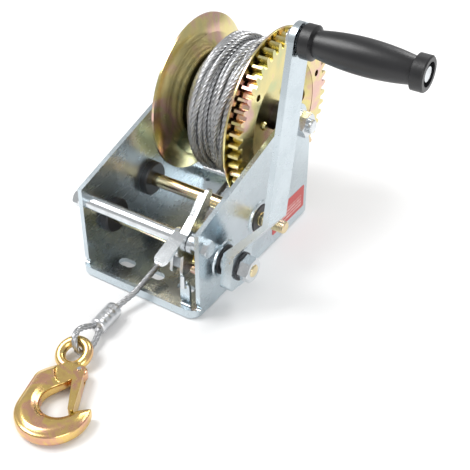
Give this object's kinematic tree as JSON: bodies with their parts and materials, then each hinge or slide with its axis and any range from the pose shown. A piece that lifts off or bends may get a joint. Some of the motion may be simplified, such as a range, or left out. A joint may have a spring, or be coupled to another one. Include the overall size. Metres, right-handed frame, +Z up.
{
  "type": "boat trailer hand winch",
  "caption": "Two-speed hand winch with wire rope, hook, ratchet pawl and crank on a plated steel frame.",
  "frame": {"origin": "middle of the base's underside", "axes": "+X along the shafts towards the crank, -Y towards the side the rope leaves on, +Z up"},
  "size_m": [0.2648, 0.397, 0.2392],
  "materials": {
    "zinc": "bright zinc plate, faintly blue",
    "zinc_bright": "bright zinc plated fasteners",
    "yellow_zinc": "yellow passivated zinc with a green and pink sheen",
    "hook_zinc": "deep yellow passivated zinc on a forging",
    "dark_steel": "blackened steel",
    "spring_steel": "plain spring wire",
    "wire_rope": "galvanised stranded wire",
    "aluminium": "pressed aluminium",
    "bush": "black moulded bush",
    "grip_plastic": "black moulded plastic",
    "label": "red printed film, no lettering"
  },
  "bodies": {
    "body": {"frame": "zinc", "rating_label": "label", "tie_rod_spacer": "zinc_bright", "tie_rod_bolt": "zinc_bright", "tie_rod_washer": "zinc_bright", "tie_rod_nut": "zinc_bright", "pawl_collars": "zinc_bright", "crank_bush_left": "bush", "crank_bush_right": "bush", "middle_bush_left": "bush", "middle_bush_right": "bush", "drum_bolt": "zinc_bright", "drum_bolt_washers": "zinc_bright", "drum_bolt_nut": "zinc_bright", "rope_run": "wire_rope", "rope_eye": "wire_rope", "ferrule": "aluminium", "hook": "hook_zinc", "latch_rivet": "zinc_bright", "pawl_spring": "spring_steel"},
    "drum": {"drum_sleeve": "dark_steel", "drum_barrel": "yellow_zinc", "left_flange": "yellow_zinc", "right_flange": "yellow_zinc", "drum_gear": "yellow_zinc", "gear_rivets": "yellow_zinc", "rope_winding": "wire_rope", "rope_clamp": "zinc_bright", "rope_clamp_screws": "zinc_bright"},
    "middle_gears": {"middle_shaft": "yellow_zinc", "drive_pinion": "yellow_zinc", "middle_gear": "yellow_zinc", "middle_circlip": "dark_steel"},
    "crank": {"crank_shaft": "yellow_zinc", "crank_pinion": "yellow_zinc", "crank_circlip": "dark_steel", "crank_arm": "zinc", "crank_hub": "zinc_bright", "crank_washer": "dark_steel", "crank_nut": "zinc_bright", "grip_bolt": "zinc_bright", "grip_nut": "zinc_bright", "grip_washer": "zinc_bright"},
    "grip": {"grip": "grip_plastic"},
    "pawl": {"pawl": "zinc_bright"},
    "latch": {"hook_latch": "hook_zinc"}
  },
  "joints": [
    {"name": "drum_spin", "type": "hinge", "parent": "body", "child": "drum", "pos_m": [0, 0.066, 0.108], "axis": [1, 0, 0], "continuous": true},
    {"name": "middle_spin", "type": "hinge", "parent": "body", "child": "middle_gears", "pos_m": [0, 0.006, 0.045], "axis": [1, 0, 0], "continuous": true},
    {"name": "crank_spin", "type": "hinge", "parent": "body", "child": "crank", "pos_m": [0, -0.04855, 0.038], "axis": [1, 0, 0], "continuous": true},
    {"name": "grip_spin", "type": "hinge", "parent": "crank", "child": "grip", "pos_m": [0.15, -0.01398, 0.22635], "axis": [1, 0, 0], "continuous": true},
    {"name": "pawl_pivot", "type": "hinge", "parent": "body", "child": "pawl", "pos_m": [0.04, -0.075, 0.0665], "axis": [1, 0, 0], "range_deg": [0, 16], "stiffness_Nm_per_rad": 0.05, "deforming": ["pawl_spring"]},
    {"name": "latch_hinge", "type": "hinge", "parent": "body", "child": "latch", "pos_m": [0.02318, -0.18875, 0.007], "axis": [0, 0, -1], "range_deg": [0, 20], "stiffness_Nm_per_rad": 0.01}
  ],
  "couplings": [
    {"joint": "middle_spin", "follows": "drum_spin", "ratio": -4.8},
    {"joint": "crank_spin", "follows": "drum_spin", "ratio": 10.286}
  ]
}
